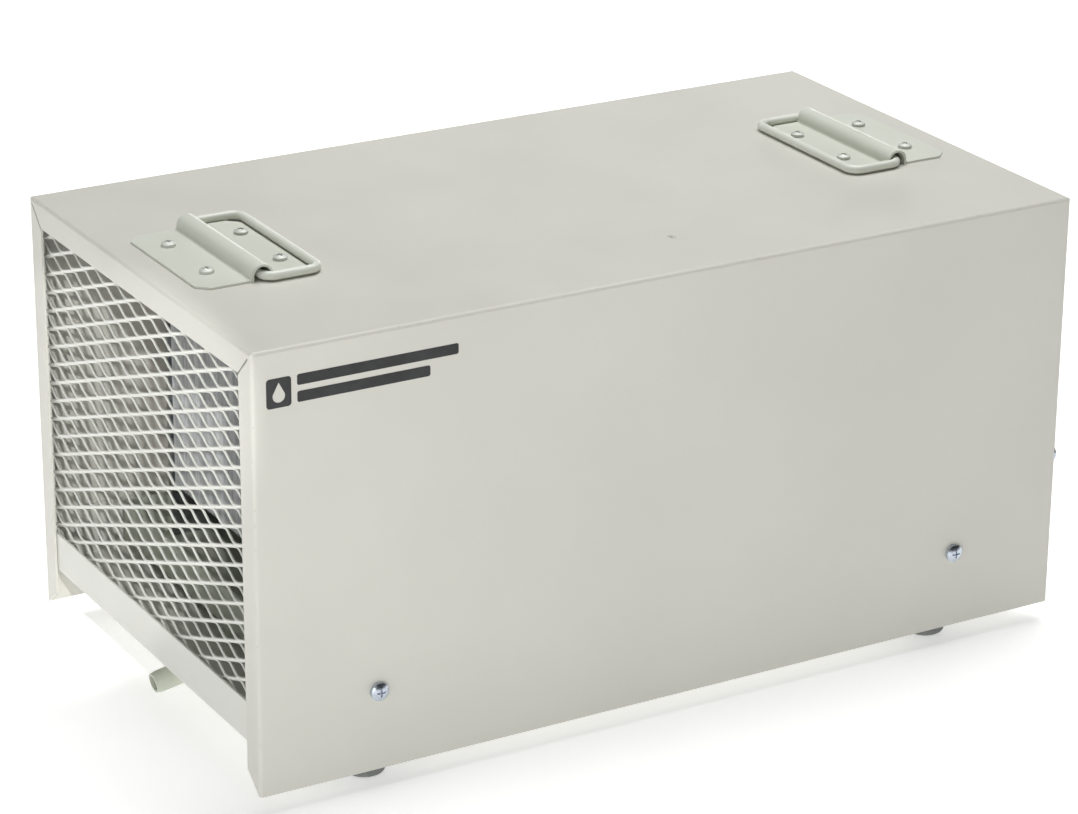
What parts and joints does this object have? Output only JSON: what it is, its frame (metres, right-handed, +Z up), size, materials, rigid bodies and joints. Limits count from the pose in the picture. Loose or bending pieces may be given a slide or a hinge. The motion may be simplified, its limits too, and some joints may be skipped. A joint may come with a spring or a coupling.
{
  "type": "dehumidifier",
  "caption": "Portable commercial dehumidifier: folded steel cover, expanded-metal air inlet and outlet, refrigerant coils, fan, compressor, drain spigot, rubber feet and hinged lifting handles.",
  "frame": {"origin": "centre of the footprint, on the surface the feet stand on", "axes": "+X towards the outlet end, +Y towards the rear, +Z up; the inlet end is at -X and the front panel at -Y"},
  "size_m": [0.6209, 0.3512, 0.324],
  "materials": {
    "cover_paint": "warm light grey powder coat, fine orange peel, satin",
    "tray_paint": "light grey powder coat, satin",
    "mesh_paint": "light grey powder coat, slightly thick over the strands",
    "handle_paint": "pale grey-green gloss enamel",
    "zinc_plate": "bright zinc plate, faintly blue",
    "foot_rubber": "dark grey moulded rubber",
    "drain_plastic": "pale grey-green moulded plastic",
    "fin_aluminium": "thin mill-finish fin stock",
    "copper_tube": "drawn copper, dulled",
    "galvanised_sheet": "galvanised sheet with a faint spangle",
    "fan_plastic": "black glass-filled nylon",
    "machined_steel": "ground steel",
    "black_enamel": "black stove enamel",
    "black_plastic": "black moulded plastic, fine grain",
    "rocker_plastic": "black gloss plastic",
    "valve_brass": "turned brass",
    "circuit_board": "green solder mask",
    "capacitor_can": "drawn aluminium can",
    "terminal_plastic": "off-white moulded plastic",
    "lead_insulation": "black lead insulation"
  },
  "bodies": {
    "casing": {"cover": "cover_paint", "base_tray": "tray_paint", "inlet_mesh": "mesh_paint", "outlet_mesh": "mesh_paint", "side_screws": "zinc_plate", "side_nuts": "zinc_plate", "handle_plate_left": "handle_paint", "handle_plate_right": "handle_paint", "handle_screws": "zinc_plate", "handle_nuts": "zinc_plate", "foot_front_left": "foot_rubber", "foot_front_right": "foot_rubber", "foot_rear_left": "foot_rubber", "foot_rear_right": "foot_rubber", "foot_bolts": "zinc_plate", "foot_nuts": "zinc_plate", "drip_tray": "drain_plastic", "drain_elbow": "drain_plastic", "drain_spigot": "drain_plastic", "evaporator_fins": "fin_aluminium", "evaporator_tubes": "copper_tube", "evaporator_end_plates": "galvanised_sheet", "condenser_fins": "fin_aluminium", "condenser_tubes": "copper_tube", "condenser_end_plates": "galvanised_sheet", "fan_shroud": "galvanised_sheet", "fan_motor": "black_enamel", "fan_bracket": "galvanised_sheet", "compressor_shell": "black_enamel", "compressor_core": "machined_steel", "compressor_mount_plate": "black_enamel", "compressor_grommets": "foot_rubber", "compressor_bolts": "zinc_plate", "compressor_terminal_cover": "black_plastic", "accumulator": "black_enamel", "filter_drier": "copper_tube", "capillary_tube": "copper_tube", "suction_pipe": "copper_tube", "discharge_pipe": "copper_tube", "liquid_pipe": "copper_tube", "hot_gas_pipe": "copper_tube", "defrost_valve": "valve_brass", "defrost_solenoid": "black_plastic", "control_panel": "tray_paint", "control_panel_screws": "zinc_plate", "control_panel_nuts": "zinc_plate", "electrical_box": "galvanised_sheet", "rocker_housing": "black_plastic", "hour_meter": "black_plastic", "cable_gland": "black_plastic", "cable_gland_nut": "black_plastic", "control_board": "circuit_board", "run_capacitor": "capacitor_can", "terminal_block": "terminal_plastic", "wiring_loom": "lead_insulation"},
    "left_handle": {"handle_bail_left": "handle_paint"},
    "right_handle": {"handle_bail_right": "handle_paint"},
    "fan": {"fan_impeller": "fan_plastic", "fan_shaft": "machined_steel"},
    "switch": {"rocker": "rocker_plastic"}
  },
  "joints": [
    {"name": "left_handle_hinge", "type": "hinge", "parent": "casing", "child": "left_handle", "pos_m": [-0.2463, 0, 0.3165], "axis": [0, -1, 0], "range_deg": [0, 90]},
    {"name": "right_handle_hinge", "type": "hinge", "parent": "casing", "child": "right_handle", "pos_m": [0.2417, 0, 0.3165], "axis": [0, 1, 0], "range_deg": [0, 90]},
    {"name": "fan_spin", "type": "hinge", "parent": "casing", "child": "fan", "pos_m": [-0.0953, 0, 0.185], "axis": [1, 0, 0], "continuous": true},
    {"name": "switch_rock", "type": "hinge", "parent": "casing", "child": "switch", "pos_m": [0.2876, 0.025, 0.125], "axis": [0, -1, 0], "range_deg": [0, 24]}
  ]
}
